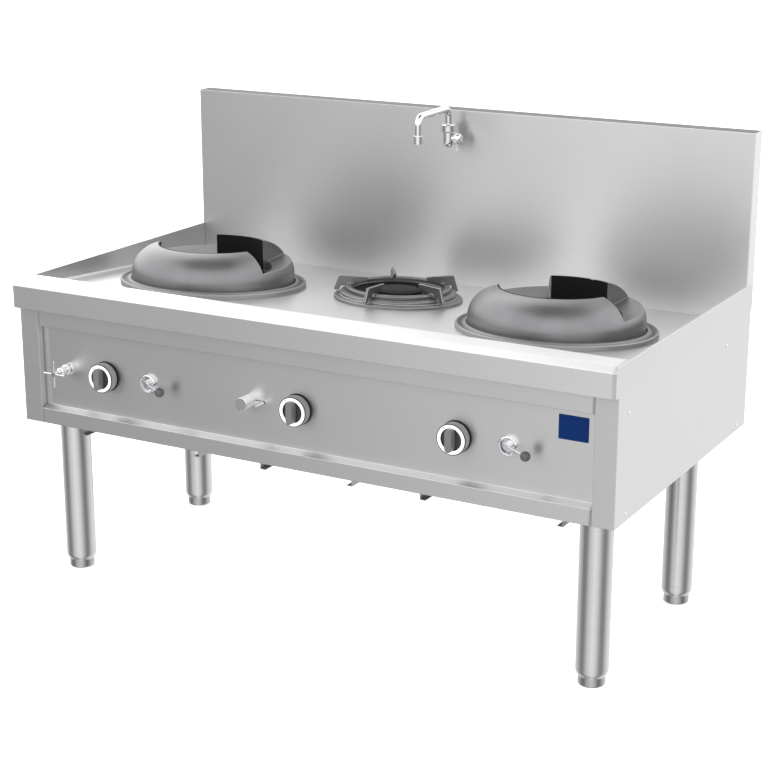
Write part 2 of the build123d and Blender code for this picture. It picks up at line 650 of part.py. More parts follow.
with BuildPart() as cross_handle:
    with BuildSketch(front(CROSS_X, CROSS_Z, -3)):
        Circle(7.4)
    extrude(amount=18, taper=3)
    for plane in (Plane.XY.offset(CROSS_Z), Plane.YZ.offset(X(CROSS_X))):
        for d in (34, -34):
            with BuildSketch(plane):
                with Locations((X(CROSS_X), Y(CROSS_HUB)) if plane.z_dir.Z > 0.5 else (Y(CROSS_HUB), CROSS_Z)):
                    Circle(3)
            extrude(amount=d, taper=0.8)
    with BuildSketch(front(CROSS_X, CROSS_Z, -2)):
        Circle(4.06)
    extrude(amount=16.9, mode=Mode.SUBTRACT)
    tips = [e for e in cross_handle.edges()
            if (e.center() - Vector(X(CROSS_X), Y(CROSS_HUB), CROSS_Z)).length > 33]
    fillet(tips, 1.1)
save(cross_handle, "cross_handle")

# ------------------------------------------------------- stub valve
with BuildPart() as stub_valve_body:
    with BuildSketch(Plane(origin=(X(STUB_X), Y(0), STUB_Z), x_dir=(1, 0, 0), z_dir=(0, 0, 1))):
        with BuildLine():
            Polyline(
                (0, STUB_FRONT), (STUB_R - 1, STUB_FRONT), (STUB_R, STUB_FRONT + 1), (STUB_R, 33.2), (12.5, 33.2), (12.5, 38.8),
                (STUB_R, 38.8), (STUB_R, 42), (12.5, 42), (12.5, 54), (16, 54), (16, 86), (0, 86), close=True)
        make_face()
    revolve(axis=Axis((X(STUB_X), Y(0), STUB_Z), (0, 1, 0)))
save(stub_valve_body, "stub_valve_body")

# ring round the neck of the valve, an arm and a pin to turn it by
with BuildPart() as stub_valve_lever:
    with BuildSketch(front(STUB_X, STUB_Z, 38.4)):
        Circle(STUB_R)
        with Locations((STUB_REACH / 2, 0)):
            SlotOverall(STUB_REACH + 7, 7)
        Circle(12.56, mode=Mode.SUBTRACT)
    extrude(amount=4.8)
    with BuildSketch(front(STUB_X + STUB_REACH, STUB_Z, 36)):
        Circle(2.6)
    extrude(amount=31)
    pin_tip = [e for e in stub_valve_lever.edges() if abs(e.center().Y - Y(5)) < 0.05]
    fillet(pin_tip, 1)
save(stub_valve_lever, "stub_valve_lever")

# ------------------------------------------------------- wall tap
with BuildPart() as wall_tap_body:
    # rounded barrel with collar nut
    with BuildSketch(Plane(origin=(X(WALL_TAP_X), Y(WALL_TAP_Y), 0), x_dir=(1, 0, 0), z_dir=(0, -1, 0))):
        with BuildLine():
            Polyline(
                (0, 1092), (4.5, 1092.6), (8.4, 1094.6), (11.4, 1098), (13.2, 1102.4), (13.7, 1107), (13.7, 1133), (16, 1135.4),
                (18.6, 1136.4), (18.6, 1152), (17, 1154), (9.06, 1154), (9.06, 1112), (0, 1112), close=True)
        make_face()
    revolve(axis=Axis((X(WALL_TAP_X), Y(WALL_TAP_Y), 0), (0, 0, 1)))
    # inlet and wall flange
    with BuildSketch(front(WALL_TAP_X, WALL_TAP_INLET_Z, SPLASH_Y + 22)):
        Circle(9.5)
    extrude(amount=22 + SPLASH_Y - WALL_TAP_Y - 6)
    with BuildSketch(front(WALL_TAP_X, WALL_TAP_INLET_Z, SPLASH_Y)):
        Circle(14)
    extrude(amount=4)
    with BuildSketch(Plane(origin=(X(WALL_TAP_X), Y(WALL_TAP_Y), 0), x_dir=(1, 0, 0), z_dir=(0, -1, 0))):
        with Locations((4.53, 1133)):
            Rectangle(9.06, 42)
    revolve(axis=Axis((X(WALL_TAP_X), Y(WALL_TAP_Y), 0), (0, 0, 1)), mode=Mode.SUBTRACT)
    # bonnet that carries the lever
    with BuildSketch(Plane.YZ.offset(X(WALL_TAP_X + 10))):
        with Locations((Y(WALL_TAP_Y + 2), WALL_TAP_Z)):
            Circle(9)
    extrude(amount=11.6)
    with BuildSketch(Plane.YZ.offset(X(WALL_TAP_X + 12))):
        with Locations((Y(WALL_TAP_Y + 2), WALL_TAP_Z)):
            Circle(4)
    extrude(amount=20)
save(wall_tap_body, "wall_tap_body")

with BuildPart() as wall_tap_spout:
    with BuildLine() as spout_run:
        FilletPolyline(
            (X(WALL_TAP_X), Y(WALL_TAP_Y), 1113), (X(WALL_TAP_X), Y(WALL_TAP_Y), SPOUT_TOP),
            (X(WALL_TAP_X), Y(SPOUT_Y), SPOUT_TOP - 4), (X(WALL_TAP_X), Y(SPOUT_Y), 1140), radius=22)
    with BuildSketch(Plane.XY.offset(1113)):
        with Locations((X(WALL_TAP_X), Y(WALL_TAP_Y))):
            Circle(9)
    sweep(path=spout_run.wires()[0])
    with BuildSketch(Plane.XY.offset(1125)):
        with Locations((X(WALL_TAP_X), Y(SPOUT_Y))):
            Circle(12.4)
    extrude(amount=17)
    with BuildSketch(Plane.XY.offset(1142)):
        with Locations((X(WALL_TAP_X), Y(SPOUT_Y))):
            Circle(14)
    extrude(amount=3.4)
    with BuildSketch(Plane.XY.offset(1124)):
        with Locations((X(WALL_TAP_X), Y(SPOUT_Y))):
            Circle(7)
    extrude(amount=10, mode=Mode.SUBTRACT)
save(wall_tap_spout, "wall_tap_spout")

with BuildPart() as wall_tap_lever:
    with BuildSketch(Plane.YZ.offset(X(WALL_TAP_X + 22))):
        with Locations((Y(WALL_TAP_Y + 2), WALL_TAP_Z)):
            Circle(14.6)
    extrude(amount=16)
    dome_edge = [e for e in wall_tap_lever.edges() if abs(e.center().X - X(WALL_TAP_X + 38)) < 0.05]
    fillet(dome_edge, 8)
    with BuildSketch(Plane.YZ.offset(X(WALL_TAP_X + 23))):
        with BuildLine():
            q = Y(WALL_TAP_Y + 2)
            Polyline((q - 5, WALL_TAP_Z - 8), (q + 5, WALL_TAP_Z - 8), (q + 3, WALL_TAP_Z - 31), (q + 1.6, WALL_TAP_Z - 33),
                     (q - 1.6, WALL_TAP_Z - 33), (q - 3, WALL_TAP_Z - 31), close=True)
        make_face()
    extrude(amount=7)
    with BuildSketch(Plane.YZ.offset(X(WALL_TAP_X + 21))):
        with Locations((Y(WALL_TAP_Y + 2), WALL_TAP_Z)):
            Circle(4.06)
    extrude(amount=11.4, mode=Mode.SUBTRACT)
save(wall_tap_lever, "wall_tap_lever")

# ------------------------------------------------------- water pipes
with BuildPart() as water_pipes:
    pts = [(X(CROSS_X - 13.8), Y(80), CROSS_Z), (X(60), Y(80), CROSS_Z), (X(60), Y(812), CROSS_Z), (X(60), Y(812), 612),
           (X(60), Y(860), 660), (X(60), Y(860), WALL_TAP_INLET_Z), (X(WALL_TAP_X - 9.6), Y(860), WALL_TAP_INLET_Z)]
    with BuildLine() as riser:
        FilletPolyline(*pts, radius=16)
    with BuildSketch(Plane(origin=pts[0], z_dir=(-1, 0, 0))):
        Circle(5.5)
    sweep(path=riser.wires()[0])
    # threaded inlet at the back
    with BuildSketch(Plane.XZ.offset(-Y(790))):
        with Locations((X(60), CROSS_Z)):
            Circle(9)
    extrude(amount=-(870.5 - 790))
    with BuildSketch(Plane.XZ.offset(-Y(870.5))):
        with Locations((X(60), CROSS_Z)):
            Circle(10.4)
    extrude(amount=-26)
    with BuildSketch(Plane.XZ.offset(-Y(896.5))):
        with Locations((X(60), CROSS_Z)):
            Circle(7)
    extrude(amount=30, mode=Mode.SUBTRACT)
    # rail behind the panel that feeds the taps
    with BuildSketch(Plane.YZ.offset(X(CROSS_X))):
        with Locations((Y(72), 640)):
            Circle(5.5)
    extrude(amount=TAP_X[1] - CROSS_X)
    for a, z in ((CROSS_X, CROSS_Z + 14), (TAP_X[0], TAP_Z + 15), (STUB_X, STUB_Z + 16), (TAP_X[1], TAP_Z + 15)):
        with BuildSketch(Plane.XY.offset(z)):
            with Locations((X(a), Y(72))):
                Circle(5.5)
        extrude(amount=640 - z + 5.5)
save(water_pipes, "water_pipes")

# ------------------------------------------------------- plate, screws
with BuildPart() as blank_plate:
    with BuildSketch(front(PLATE_X, PLATE_Z, RECESS_Y)):
        RectangleRounded(72, 57, 1.5)
    extrude(amount=1.2)
save(blank_plate, "blank_plate")

with BuildPart() as panel_screws:
    for s in (-1.0, 1.0):
        for b, z in ((85, 678), (85, 444), (727, 676), (836, 440)):
            with BuildSketch(Plane(origin=(s * (WIDTH / 2 - 1.5), Y(b), z), z_dir=(s, 0, 0))):
                Circle(4)
            extrude(amount=1.2, taper=30)
save(panel_screws, "panel_screws")

# ------------------------------------------------------- drip trays
with BuildPart() as tray_runners:
    for a0, a1 in TRAY_SPANS.values():
        for a, d in ((a0, 1.0), (a1, -1.0)):
            with BuildSketch(Plane.XZ.offset(-Y(66))):
                with BuildLine():
                    Polyline(
                        (X(a) - d, RAIL_BOTTOM), (X(a) - d, RUNNER_BOTTOM), (X(a) + 14 * d, RUNNER_BOTTOM),
                        (X(a) + 14 * d, RUNNER_BOTTOM + 2), (X(a) + d, RUNNER_BOTTOM + 2), (X(a) + d, RAIL_BOTTOM), close=True)
                make_face()
            extrude(amount=-(755 - 66))
save(tray_runners, "tray_runners")

for side, (a0, a1) in TRAY_SPANS.items():
    w = a1 - a0 - 5
    m = (a0 + a1) / 2
    with BuildPart() as drip_tray:
        with BuildSketch(Plane.XY.offset(RUNNER_BOTTOM + 2.5)):
            with Locations((X(m), Y(425))):
                Rectangle(w, 640)
        extrude(amount=24)
        with BuildSketch(Plane.XY.offset(RUNNER_BOTTOM + 2.5 + PANEL)):
            with Locations((X(m), Y(425))):
                Rectangle(w - 2 * PANEL, 640 - 2 * PANEL)
        extrude(amount=30, mode=Mode.SUBTRACT)
        # pull lip
        with BuildSketch(Plane.XY.offset(RUNNER_BOTTOM + 26.5 - PANEL)):
            with Locations((X(m), Y(98.5))):
                Rectangle(w - 60, 16)
        extrude(amount=PANEL)
    save(drip_tray, f"drip_tray_{side}")
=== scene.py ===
import bpy
import bmesh
import math
from mathutils import Matrix, Vector

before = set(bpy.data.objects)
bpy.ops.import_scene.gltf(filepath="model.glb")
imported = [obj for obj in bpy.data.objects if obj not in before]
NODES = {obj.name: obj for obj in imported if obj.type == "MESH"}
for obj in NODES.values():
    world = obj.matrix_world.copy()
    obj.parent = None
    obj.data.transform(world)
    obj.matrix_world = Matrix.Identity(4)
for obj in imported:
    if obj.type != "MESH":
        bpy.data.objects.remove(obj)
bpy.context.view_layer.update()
scene = bpy.context.scene
COL = scene.collection

# the worktop is 1.65 m wide; X runs from its middle, Y from behind the apron face
def X(a):
    return (a - 825.0) / 1000.0


def Y(b):
    return (b - 439.5) / 1000.0


# ------------------------------------------------------------------ camera
AZ, PITCH, ROLL = math.radians(29.146), math.radians(16.740), math.radians(0.065)
fwd = Vector((-math.sin(AZ) * math.cos(PITCH), math.cos(AZ) * math.cos(PITCH), -math.sin(PITCH)))
right = Vector((math.cos(AZ), math.sin(AZ), 0.0))
up = right.cross(fwd)
right2 = right * math.cos(ROLL) + up * math.sin(ROLL)
up2 = up * math.cos(ROLL) - right * math.sin(ROLL)
cam_data = bpy.data.cameras.new("camera")
cam_data.sensor_width = 36.0
cam_data.lens = 1833.7 / 777.0 * 36.0
cam_data.clip_start, cam_data.clip_end = 0.05, 100.0
cam = bpy.data.objects.new("camera", cam_data)
COL.objects.link(cam)
rot = Matrix((right2, up2, -fwd)).transposed().to_4x4()
cam.matrix_world = Matrix.Translation((2.2216, -3.9402, 1.8805)) @ rot
scene.camera = cam
scene.view_settings.view_transform = "Standard"
scene.view_settings.look = "None"


# --------------------------------------------------------------- materials
def new_material(name):
    m = bpy.data.materials.new(name)
    m.use_nodes = True
    nt = m.node_tree
    bsdf = next(n for n in nt.nodes if n.type == "BSDF_PRINCIPLED")
    return m, nt, bsdf


def node(nt, kind, **props):
    n = nt.nodes.new(kind)
    for k, v in props.items():
        setattr(n, k, v)
    return n


def noise_at(nt, coord, scale, size=1.0, detail=3.0, rough=0.5, distortion=0.0):
    """Noise on object coordinates stretched by scale (an x, y, z triple)."""
    mp = node(nt, "ShaderNodeMapping")
    mp.inputs["Scale"].default_value = scale
    nt.links.new(coord, mp.inputs["Vector"])
    nz = node(nt, "ShaderNodeTexNoise")
    nz.inputs["Scale"].default_value = size
    nz.inputs["Detail"].default_value = detail
    nz.inputs["Roughness"].default_value = rough
    nz.inputs["Distortion"].default_value = distortion
    nt.links.new(mp.outputs["Vector"], nz.inputs["Vector"])
    return nz.outputs["Fac"]


def ramp(nt, fac, stops, mode="LINEAR"):
    r = node(nt, "ShaderNodeValToRGB")
    r.color_ramp.interpolation = mode
    el = r.color_ramp.elements
    while len(el) < len(stops):
        el.new(0.5)
    for e, (pos, col) in zip(el, stops):
        e.position = pos
        e.color = col if hasattr(col, "__len__") else (col, col, col, 1.0)
    nt.links.new(fac, r.inputs["Fac"])
    return r.outputs["Color"]


def mix(nt, fac, a, b, kind="RGBA", blend="MIX"):
    m = node(nt, "ShaderNodeMix", data_type=kind)
    if kind == "RGBA":
        m.blend_type = blend
        ia, ib, out = m.inputs[6], m.inputs[7], m.outputs[2]
    else:
        ia, ib, out = m.inputs[2], m.inputs[3], m.outputs[0]
    for sock, v in ((m.inputs[0], fac), (ia, a), (ib, b)):
        if isinstance(v, bpy.types.NodeSocket):
            nt.links.new(v, sock)
        else:
            sock.default_value = v
    return out


def mathn(nt, op, a, b=None, clamp=False):
    m = node(nt, "ShaderNodeMath", operation=op)
    m.use_clamp = clamp
    for i, v in enumerate((a, b)):
        if v is None:
            continue
        if isinstance(v, bpy.types.NodeSocket):
            nt.links.new(v, m.inputs[i])
        else:
            m.inputs[i].default_value = v
    return m.outputs[0]


def bump(nt, height, strength, distance, bsdf, edge=0.0, edge_glint=0.0, bright=0.8):
    """Surface relief; edge rounds the folds in mm / 1000, and a painted highlight lightens the colour on them towards
    bright.
    """
    b = node(nt, "ShaderNodeBump")
    if edge:
        round_ = node(nt, "ShaderNodeBevel", samples=4)
        round_.inputs["Radius"].default_value = edge
        nt.links.new(round_.outputs["Normal"], b.inputs["Normal"])
        if edge_glint:
            # painted highlight: colour lightened along folds and edges, where the rounded normal turns away from the
            # flat one
            flat = node(nt, "ShaderNodeNewGeometry").outputs["Normal"]
            dot = node(nt, "ShaderNodeVectorMath", operation="DOT_PRODUCT")
            nt.links.new(round_.outputs["Normal"], dot.inputs[0])
            nt.links.new(flat, dot.inputs[1])
            highlight_mask = ramp(nt, dot.outputs["Value"], [(0.80, edge_glint), (0.985, 0.0)], "EASE")
            old = bsdf.inputs["Base Color"].links[0].from_socket
            nt.links.new(mix(nt, highlight_mask, old, (bright, bright, bright, 1.0)), bsdf.inputs["Base Color"])
    b.inputs["Strength"].default_value = strength
    b.inputs["Distance"].default_value = distance
    nt.links.new(height, b.inputs["Height"])
    nt.links.new(b.outputs["Normal"], bsdf.inputs["Normal"])


def obj_coord(nt):
    return node(nt, "ShaderNodeTexCoord").outputs["Object"]


def brushed(name, colour, rough, axis="X", metallic=1.0, spread=0.012, aniso=0.6, side_axis="Y", edge=0.0016, edge_glint=0.6, top=None, shade=None, underside_shade=None):
    """Brushed stainless sheet: fine streaks along axis, soft patches in sheen; optional painted shade along X or Z,
    on downward faces and on upward faces.
    """
    m, nt, bsdf = new_material(name)
    co = obj_coord(nt)
    long_, cross = 3.0, 420.0
    sc = {"X": (long_, cross, cross), "Y": (cross, long_, cross), "Z": (cross, cross, long_)}
    fine = noise_at(nt, co, sc[axis], 1.0, 3.0, 0.65)
    geo = node(nt, "ShaderNodeNewGeometry")
    unit = {"X": (1.0, 0.0, 0.0), "Y": (0.0, 1.0, 0.0), "Z": (0.0, 0.0, 1.0)}
    grain = node(nt, "ShaderNodeCombineXYZ")
    for i, v in enumerate(unit[axis]):
        grain.inputs[i].default_value = v
    grain = grain.outputs[0]
    if side_axis != axis:
        alt = noise_at(nt, co, sc[side_axis], 1.0, 3.0, 0.65)
        sep = node(nt, "ShaderNodeSeparateXYZ")
        nt.links.new(geo.outputs["True Normal"], sep.inputs[0])
        along = mathn(nt, "ABSOLUTE", sep.outputs[{"X": 0, "Y": 1, "Z": 2}[axis]])
        pick = mathn(nt, "GREATER_THAN", along, 0.7)
        fine = mix(nt, pick, fine, alt, kind="FLOAT")
        grain2 = node(nt, "ShaderNodeCombineXYZ")
        for i, v in enumerate(unit[side_axis]):
            grain2.inputs[i].default_value = v
        grain = mix(nt, pick, grain, grain2.outputs[0])
    cross_n = node(nt, "ShaderNodeVectorMath", operation="CROSS_PRODUCT")
    nt.links.new(geo.outputs["True Normal"], cross_n.inputs[0])
    nt.links.new(grain, cross_n.inputs[1])
    nt.links.new(cross_n.outputs[0], bsdf.inputs["Tangent"])
    patch = noise_at(nt, co, (1.6, 1.6, 1.6), 1.0, 2.0, 0.5)
    c = ramp(nt, fine, [(0.25, [v * (1 - spread) for v in colour] + [1.0]), (0.75, [min(1.0, v * (1 + spread)) for v in colour] + [1.0])])
    # painted shade: the colour is multiplied darker along the object's X or Z by the given stops
    for k, (start, end, stops) in (shade or {}).items():
        place = node(nt, "ShaderNodeSeparateXYZ")
        nt.links.new(co, place.inputs[0])
        t = mathn(nt, "DIVIDE", mathn(nt, "SUBTRACT", place.outputs["XYZ".index(k)], start), end - start, clamp=True)
        c = mix(nt, 1.0, c, ramp(nt, t, stops, "EASE"), blend="MULTIPLY")
    # painted shade: faces turned downwards get the flat darker colour given
    if underside_shade is not None:
        facing = node(nt, "ShaderNodeSeparateXYZ")
        nt.links.new(geo.outputs["True Normal"], facing.inputs[0])
        c = mix(nt, mathn(nt, "LESS_THAN", facing.outputs[2], -0.7), c, (underside_shade, underside_shade, underside_shade, 1.0))
    above = None
    # painted shade: faces turned upwards get a dark, rough, non-metallic colour in place of the steel's
    if top is not None:
        updn = node(nt, "ShaderNodeSeparateXYZ")
        nt.links.new(geo.outputs["True Normal"], updn.inputs[0])
        above = mathn(nt, "GREATER_THAN", updn.outputs[2], 0.7)
        c = mix(nt, above, c, (top, top, top * 1.01, 1.0))
    c = mix(nt, 0.10, c, ramp(nt, patch, [(0.3, [v * 0.8 for v in colour] + [1.0]), (0.7, [min(1, v * 1.12) for v in colour] + [1.0])]))
    nt.links.new(c, bsdf.inputs["Base Color"])
    r1 = ramp(nt, fine, [(0.2, rough * 0.95), (0.8, rough * 1.05)])
    r2 = ramp(nt, patch, [(0.3, rough * 0.92), (0.7, rough * 1.08)])
    r3 = mix(nt, 0.4, r1, r2)
    bsdf.inputs["Metallic"].default_value = metallic
    if above is not None:
        r3 = mix(nt, above, r3, (0.95, 0.95, 0.95, 1.0))
        nt.links.new(mathn(nt, "SUBTRACT", 1.0, above), bsdf.inputs["Metallic"])
    nt.links.new(r3, bsdf.inputs["Roughness"])
    bsdf.inputs["Anisotropic"].default_value = aniso
    bump(nt, fine, 0.1, 0.0002, bsdf, edge, edge_glint, 0.95)
    return m


def cast(name, light, dark, rough, metallic=0.6, grain=900.0, edge=0.002, edge_glint=0.75, bright=0.7):
    """Cast metal: slightly mottled skin with a fine grain."""
    m, nt, bsdf = new_material(name)
    co = obj_coord(nt)
    big = noise_at(nt, co, (9, 9, 9), 1.0, 4.0, 0.55)
    fine = noise_at(nt, co, (grain,) * 3, 1.0, 2.0, 0.6)
    c = ramp(nt, big, [(0.3, list(dark) + [1.0]), (0.72, list(light) + [1.0])])
    nt.links.new(c, bsdf.inputs["Base Color"])
    nt.links.new(ramp(nt, big, [(0.2, rough * 0.88), (0.8, rough * 1.12)]), bsdf.inputs["Roughness"])
    bsdf.inputs["Metallic"].default_value = metallic
    h = mathn(nt, "ADD", mathn(nt, "MULTIPLY", big, 0.7), mathn(nt, "MULTIPLY", fine, 0.5))
    bump(nt, h, 0.42, 0.0005, bsdf, edge, edge_glint, bright)
    return m, nt, bsdf, co


def plain(name, colour, rough, metallic=0.0, grain=600.0, depth=0.00012, vary=0.06, coat=0.0, spec=0.5):
    m, nt, bsdf = new_material(name)
    co = obj_coord(nt)
    fine = noise_at(nt, co, (grain,) * 3, 1.0, 2.0, 0.5)
    big = noise_at(nt, co, (14, 14, 14), 1.0, 3.0, 0.5)
    c = ramp(nt, big, [(0.3, [v * (1 - vary) for v in colour] + [1.0]), (0.7, [min(1, v * (1 + vary)) for v in colour] + [1.0])])
    nt.links.new(c, bsdf.inputs["Base Color"])
    nt.links.new(ramp(nt, big, [(0.3, rough * 0.9), (0.7, min(1.0, rough * 1.1))]), bsdf.inputs["Roughness"])
    bsdf.inputs["Metallic"].default_value = metallic
    bsdf.inputs["Coat Weight"].default_value = coat
    bsdf.inputs["Specular IOR Level"].default_value = spec
    bump(nt, fine, 0.3, depth, bsdf)
    return m


def ring_brushed(name, colour, rough, aniso=0.7):
    """Satin tube: the grain runs round a vertical axis, so the sheen spreads upwards."""
    m, nt, bsdf = new_material(name)
    co = obj_coord(nt)
    fine = noise_at(nt, co, (6.0, 6.0, 700.0), 1.0, 3.0, 0.6)
    big = noise_at(nt, co, (5.0, 5.0, 2.0), 1.0, 2.0, 0.5)
    nt.links.new(ramp(nt, fine, [(0.3, [v * 0.96 for v in colour] + [1.0]), (0.7, [v * 1.04 for v in colour] + [1.0])]), bsdf.inputs["Base Color"])
    nt.links.new(ramp(nt, big, [(0.3, rough * 0.9), (0.7, rough * 1.1)]), bsdf.inputs["Roughness"])
    bsdf.inputs["Metallic"].default_value = 1.0
    bsdf.inputs["Anisotropic"].default_value = aniso
    up_axis = node(nt, "ShaderNodeCombineXYZ")
    up_axis.inputs[2].default_value = 1.0
    nt.links.new(up_axis.outputs[0], bsdf.inputs["Tangent"])
    bump(nt, fine, 0.2, 0.0001, bsdf)
    return m


# painted light and shade: worktop, splashback, front, sides and back are one stainless steel given different base
# tones, lightest on the worktop and darkest on the sides
STEEL = (0.60, 0.60, 0.605)
M = {}
# painted shade: the worktop darker towards its left and in a strip along its right edge
M["deck"] = brushed("steel_worktop", (0.70, 0.70, 0.705), 0.32, "X",
                    shade={"X": (0.30, 0.825, [(0.0, 0.94), (0.975, 1.0), (0.988, 0.76), (1.0, 0.76)])})
# painted shade: the splashback darker towards its left and a little towards the bottom, and its top faces dark
M["splash"] = brushed("steel_splashback", (0.64, 0.64, 0.645), 0.35, "X", top=0.12,
                      shade={"X": (-0.825, 0.825, [(0.0, 0.77), (0.35, 0.82), (0.62, 0.94), (1.0, 1.0)]),
                             "Z": (0.71, 1.0, [(0.0, 0.95), (1.0, 1.0)])})
# painted shade: dark strips at both fascia ends stand for the shadow in the seams, and downward faces are darker
M["front"] = brushed("steel_front", (0.615, 0.615, 0.62), 0.32, "X", underside_shade=0.36,
                     shade={"X": (-0.825, 0.825, [(0.0, 0.3), (0.0345, 0.3), (0.0356, 1.0), (0.9640, 1.0), (0.9652, 0.3), (1.0, 0.3)])})
M["side"] = brushed("steel_side", (0.56, 0.56, 0.565), 0.36, "X")
M["back"] = brushed("steel_back", (0.6, 0.6, 0.61), 0.45, "X")
M["leg"] = ring_brushed("steel_leg", (0.55, 0.55, 0.555), 0.28)
M["foot"] = ring_brushed("turned_foot", (0.40, 0.40, 0.405), 0.28)
M["frame"] = plain("frame_steel", (0.4, 0.4, 0.41), 0.45, 0.9)
M["chrome"] = plain("chrome", (0.68, 0.68, 0.695), 0.08, 1.0, depth=0.00002)
M["brass"] = plain("brass", (0.62, 0.45, 0.2), 0.3, 1.0)
M["copper"] = plain("copper", (0.62, 0.33, 0.2), 0.35, 1.0)
M["gas"] = plain("gas_pipe", (0.12, 0.12, 0.125), 0.5, 0.3)
M["knob"] = plain("knob_grey", (0.16, 0.16, 0.165), 0.42)
M["black"] = plain("bezel_black", (0.012, 0.012, 0.012), 0.4)
M["ball"] = plain("ball_grey", (0.06, 0.06, 0.063), 0.36, coat=0.1)
M["plate"] = plain("plate_blue", (0.0015, 0.016, 0.088), 0.45, vary=0.03, spec=0.06)
M["burner"] = cast("burner_cast", (0.10, 0.10, 0.10), (0.05, 0.05, 0.05), 0.6, 0.5)[0]
sm, snt, sb, sco = cast("support_cast", (0.17, 0.17, 0.174), (0.12, 0.12, 0.124), 0.42, 0.8, edge=0.0026, edge_glint=0.9, bright=0.8)
sb.inputs["Specular IOR Level"].default_value = 0.3
M["support"] = sm
bm_, bnt, bb, bco = cast("sooty_cast", (0.03, 0.03, 0.03), (0.018, 0.018, 0.018), 0.62, 0.3, edge_glint=0.4, bright=0.25)
bb.inputs["Specular IOR Level"].default_value = 0.1
M["sooty"] = bm_


def ring_material(side, cx):
    """Grey cast ring; the bore and the walls' inner faces are painted black as shade."""
    m, nt, bsdf, co = cast(f"wok_ring_cast_{side}", (0.215, 0.215, 0.22), (0.165, 0.165, 0.17), 0.38, 0.85)
    sep = node(nt, "ShaderNodeSeparateXYZ")
    nt.links.new(co, sep.inputs[0])
    dx = mathn(nt, "SUBTRACT", sep.outputs[0], X(cx))
    dy = mathn(nt, "SUBTRACT", sep.outputs[1], Y(420))
    r = mathn(nt, "SQRT", mathn(nt, "ADD", mathn(nt, "MULTIPLY", dx, dx), mathn(nt, "MULTIPLY", dy, dy)))
    blotch = noise_at(nt, co, (30, 30, 30), 1.0, 3.0, 0.5)
    edge = mathn(nt, "ADD", r, mathn(nt, "MULTIPLY", mathn(nt, "SUBTRACT", blotch, 0.5), 0.002))
    # painted shade: black and rough within the ring's inner radius
    inner_shade_mask = mathn(nt, "LESS_THAN", edge, 0.1432)
    old = bsdf.inputs["Base Color"].links[0].from_socket
    nt.links.new(mix(nt, inner_shade_mask, old, (0.012, 0.012, 0.012, 1.0)), bsdf.inputs["Base Color"])
    oldr = bsdf.inputs["Roughness"].links[0].from_socket
    nt.links.new(mix(nt, inner_shade_mask, oldr, (0.7, 0.7, 0.7, 1.0)), bsdf.inputs["Roughness"])
    return m


def wok_collar_material(side, cx):
    """Grey cast collar with painted highlights on its two lips and painted shade in the channel between them."""
    m, nt, bsdf, co = cast(f"collar_cast_{side}", (0.25, 0.25, 0.255), (0.20, 0.20, 0.205), 0.50, 0.85, edge=0.0014, edge_glint=0.6, bright=0.55)
    sep = node(nt, "ShaderNodeSeparateXYZ")
    nt.links.new(co, sep.inputs[0])
    dx = mathn(nt, "SUBTRACT", sep.outputs[0], X(cx))
    dy = mathn(nt, "SUBTRACT", sep.outputs[1], Y(420))
    r = mathn(nt, "SQRT", mathn(nt, "ADD", mathn(nt, "MULTIPLY", dx, dx), mathn(nt, "MULTIPLY", dy, dy)))
    t = mathn(nt, "DIVIDE", mathn(nt, "SUBTRACT", r, 0.214), 0.033, clamp=True)
    # painted highlight on the two lips and painted shade in the channel between them, as rings by radius
    highlight_mask = ramp(nt, t, [(0.0, 0.0), (0.12, 0.0), (0.22, 0.35), (0.28, 0.35), (0.36, 0.0), (0.78, 0.0), (0.84, 0.4), (0.90, 0.4), (0.96, 0.0)])
    groove_shade = ramp(nt, t, [(0.36, 0.0), (0.50, 0.75), (0.62, 0.75), (0.74, 0.0)])
    old = bsdf.inputs["Base Color"].links[0].from_socket
    old = mix(nt, groove_shade, old, (0.05, 0.05, 0.05, 1.0))
    nt.links.new(mix(nt, highlight_mask, old, (0.40, 0.40, 0.41, 1.0)), bsdf.inputs["Base Color"])
    return m


def collar_material():
    """Grey cast collar of the middle burner, with painted black shade in its bowl."""
    m, nt, bsdf, co = cast("center_collar_cast", (0.21, 0.21, 0.215), (0.16, 0.16, 0.165), 0.44, 0.85, edge=0.0024, edge_glint=0.9, bright=0.8)
    sep = node(nt, "ShaderNodeSeparateXYZ")
    nt.links.new(co, sep.inputs[0])
    dx = mathn(nt, "SUBTRACT", sep.outputs[0], X(821.5))
    dy = mathn(nt, "SUBTRACT", sep.outputs[1], Y(540))
    r = mathn(nt, "SQRT", mathn(nt, "ADD", mathn(nt, "MULTIPLY", dx, dx), mathn(nt, "MULTIPLY", dy, dy)))
    # painted shade: black and rough within the bowl's radius
    inner_shade_mask = mathn(nt, "LESS_THAN", r, 0.119)
    old = bsdf.inputs["Base Color"].links[0].from_socket
    nt.links.new(mix(nt, inner_shade_mask, old, (0.014, 0.014, 0.014, 1.0)), bsdf.inputs["Base Color"])
    oldr = bsdf.inputs["Roughness"].links[0].from_socket
    nt.links.new(mix(nt, inner_shade_mask, oldr, (0.7, 0.7, 0.7, 1.0)), bsdf.inputs["Roughness"])
    return m


